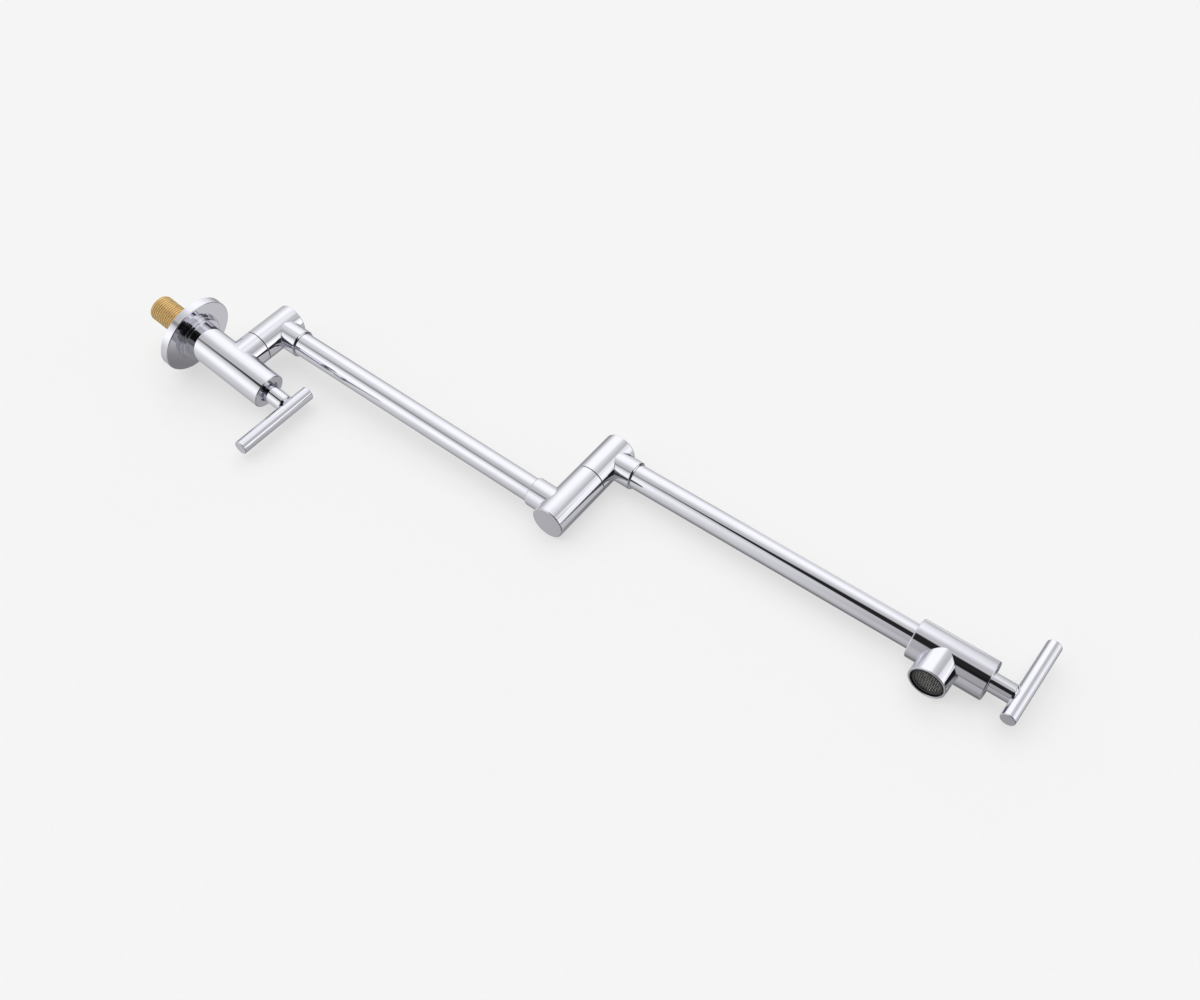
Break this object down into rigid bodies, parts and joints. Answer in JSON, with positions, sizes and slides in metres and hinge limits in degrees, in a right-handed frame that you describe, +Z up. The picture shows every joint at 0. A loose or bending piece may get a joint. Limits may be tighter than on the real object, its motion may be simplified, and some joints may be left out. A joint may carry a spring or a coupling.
{
  "type": "pot filler",
  "caption": "Wall mounted folding pot filler tap with jointed swivel arms, a lever valve at the wall and another at the spout, and an aerated nozzle that points down.",
  "frame": {"origin": "on the axis of the inlet thread, in the plane of the finished wall that the flange rests on", "axes": "+Z up, +Y into the wall along the inlet thread, -Y out into the room along the wall valve's body, +X to the right for someone who faces the wall"},
  "size_m": [0.149, 0.6922, 0.209],
  "materials": {
    "chrome": "polished chrome plate on brass",
    "brass": "bare machined brass",
    "rubber": "matt black rubber",
    "dark_plastic": "smooth black moulded plastic",
    "ceramic": "lapped white ceramic",
    "spring_steel": "plain spring steel",
    "screen_steel": "woven steel mesh",
    "plug_plastic": "moulded plastic"
  },
  "bodies": {
    "wall_body": {"inlet_nipple": "brass", "wall_gasket": "rubber", "escutcheon": "chrome", "escutcheon_seal": "rubber", "escutcheon_collar": "chrome", "valve_body": "chrome", "cartridge_1": "chrome", "cartridge_ring_1": "rubber", "fixed_disc_1": "ceramic", "seat_seal_1": "rubber", "pivot_spigot_1": "brass", "pivot_rings_1": "rubber", "seam_washer_1": "dark_plastic", "thrust_washer_1": "dark_plastic", "retaining_clip_1": "spring_steel"},
    "lever_1": {"stem_1": "brass", "moving_disc_1": "ceramic", "handle_neck_1": "chrome", "handle_bar_1": "chrome", "grub_screw_1": "spring_steel"},
    "arm_1": {"elbow_head_1": "chrome", "head_cap_1": "chrome", "arm_tube_1": "chrome", "tube_rings_1": "rubber", "middle_joint_lower": "chrome", "pivot_spigot_2": "brass", "pivot_rings_2": "rubber", "seam_washer_2": "dark_plastic", "thrust_washer_2": "dark_plastic", "retaining_clip_2": "spring_steel"},
    "arm_2": {"middle_joint_upper": "chrome", "head_cap_2": "chrome", "arm_tube_2": "chrome", "tube_rings_2": "rubber", "spout_body": "chrome", "aerator_housing": "dark_plastic", "aerator_washer": "rubber", "aerator_screen": "screen_steel", "flow_straightener": "plug_plastic", "cartridge_2": "chrome", "cartridge_ring_2": "rubber", "fixed_disc_2": "ceramic", "seat_seal_2": "rubber"},
    "lever_2": {"stem_2": "brass", "moving_disc_2": "ceramic", "handle_neck_2": "chrome", "handle_bar_2": "chrome", "grub_screw_2": "spring_steel"}
  },
  "joints": [
    {"name": "first_swivel", "type": "hinge", "parent": "wall_body", "child": "arm_1", "pos_m": [0, -0.0457, 0.0246], "axis": [0, 0, 1], "range_deg": [-81.2, 98.8]},
    {"name": "second_swivel", "type": "hinge", "parent": "arm_1", "child": "arm_2", "pos_m": [-0.04314, -0.32438, 0.082], "axis": [0, 0, 1], "range_deg": [-177.7, 182.3]},
    {"name": "wall_lever_turn", "type": "hinge", "parent": "wall_body", "child": "lever_1", "pos_m": [0, -0.0825, 0], "axis": [0, -1, 0], "range_deg": [0, 90]},
    {"name": "spout_lever_turn", "type": "hinge", "parent": "arm_2", "child": "lever_2", "pos_m": [-0.10329, -0.63094, 0.1062], "axis": [-0.1925, -0.9813, 0], "range_deg": [0, 90]}
  ]
}
